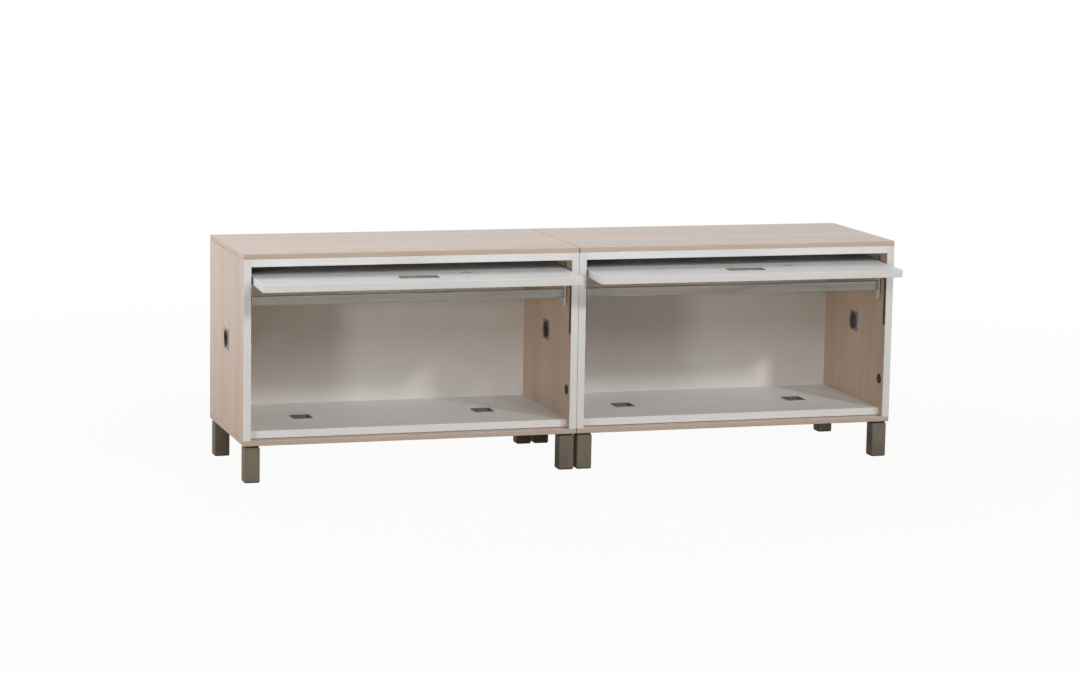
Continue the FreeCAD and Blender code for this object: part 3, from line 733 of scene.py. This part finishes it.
floor_paint, tree, shader, place = material("studio_floor_paint", 0.9)
mottle = grain(tree, place, grains=40, clouds=0.4)[1]
tree.links.new(mix(tree, mottle, rgb(190, 177, 160), rgb(196, 183, 166)), shader.inputs["Base Color"])
shader.inputs["Specular IOR Level"].default_value = 0.0
glow = tree.nodes.new("ShaderNodeEmission")
away = tree.nodes.new("ShaderNodeVectorMath")
away.operation = "LENGTH"
tree.links.new(place, away.inputs[0])
straight, mirrored = seen_rays(tree)
share = None
for rays, near in ((straight, seen_white_near), (mirrored, mirrored_white_near)):
    part = tree.nodes.new("ShaderNodeMath")
    part.operation = "MULTIPLY_ADD"
    part.inputs[2].default_value = 0.0
    tree.links.new(rays, part.inputs[0])
    white = spread(tree, away.outputs["Value"], near_radius, far_radius, near, seen_white_far)
    tree.links.new(white, part.inputs[1])
    if share:
        tree.links.new(share.outputs["Value"], part.inputs[2])
    share = part
blend = tree.nodes.new("ShaderNodeMixShader")
tree.links.new(share.outputs["Value"], blend.inputs["Fac"])
tree.links.new(shader.outputs["BSDF"], blend.inputs[1])
tree.links.new(glow.outputs["Emission"], blend.inputs[2])
tree.links.new(blend.outputs["Shader"], tree.nodes["Material Output"].inputs["Surface"])
data.materials.append(floor_paint)

surround = bpy.data.worlds.new("white_surround")
surround.use_nodes = True
bpy.context.scene.world = surround
tree = surround.node_tree
even_light = tree.nodes["Background"]
even_light.inputs["Color"].default_value = (1.0, 1.0, 1.0, 1.0)
even_light.inputs["Strength"].default_value = 0.02
backdrop = tree.nodes.new("ShaderNodeBackground")
backdrop.inputs["Color"].default_value = (1.0, 1.0, 1.0, 1.0)
backdrop.inputs["Strength"].default_value = 1.0
blend = tree.nodes.new("ShaderNodeMixShader")
any_seen = tree.nodes.new("ShaderNodeMath")
any_seen.operation = "MAXIMUM"
for socket, rays in zip(any_seen.inputs, seen_rays(tree)):
    tree.links.new(rays, socket)
tree.links.new(any_seen.outputs["Value"], blend.inputs["Fac"])
tree.links.new(even_light.outputs["Background"], blend.inputs[1])
tree.links.new(backdrop.outputs["Background"], blend.inputs[2])
tree.links.new(blend.outputs["Shader"], tree.nodes["World Output"].inputs["Surface"])

aim = Vector((0.0, -0.1, 0.4))
lamps = (
    ("right_front_lamp", (0.6, -1.0, 0.66), 6.5, 0.5, 112.0),
    ("high_front_lamp", (0.25, -1.0, 0.74), 6.5, 0.7, 53.0),
    ("wide_front_lamp", (-0.12, -1.0, 0.5), 6.5, 1.8, 77.0),
    ("left_low_lamp", (-1.05, -1.0, 0.15), 6.5, 0.8, 69.0),
    ("left_soft_lamp", (-1.0, 0.1, 0.6), 5.0, 2.4, 112.0),
    ("top_soft_lamp", (-0.1, 0.45, 1.0), 4.5, 2.4, 42.0),
    ("rear_low_lamp", (0.35, 1.0, 0.0), 5.0, 0.5, 90.0),
)
for name, direction, distance, size, power in lamps:
    lamp = bpy.data.lights.new(name, "AREA")
    lamp.shape = "DISK"
    lamp.size = size
    lamp.energy = power
    holder = bpy.data.objects.new(name, lamp)
    holder.visible_camera = False
    bpy.context.scene.collection.objects.link(holder)
    away = Vector(direction).normalized()
    holder.location = aim + away * distance
    holder.rotation_euler = away.to_track_quat("Z", "Y").to_euler()

# Camera
# A long lens in front, to the left and a little above the top. Its place, turn and focal length
# are fitted to the corners of both cabinets in a frame of 1080 x 675 pixels.

camera = bpy.data.cameras.new("camera")
camera.lens = 103.95
camera.sensor_width = 36.0
camera.clip_end = 300.0
viewer = bpy.data.objects.new("camera", camera)
bpy.context.scene.collection.objects.link(viewer)
right = Vector((0.95401559, -0.2992516, 0.01739936))
up = Vector((0.0285566, 0.14851276, 0.98849809))
backward = Vector((-0.29839367, -0.94254572, 0.1502291))
stand = Vector((-2.83890, -8.77046, 1.76813))
viewer.matrix_world = Matrix.Translation(stand) @ Matrix((right, up, backward)).transposed().to_4x4()
bpy.context.scene.camera = viewer
bpy.context.scene.view_settings.view_transform = "Standard"
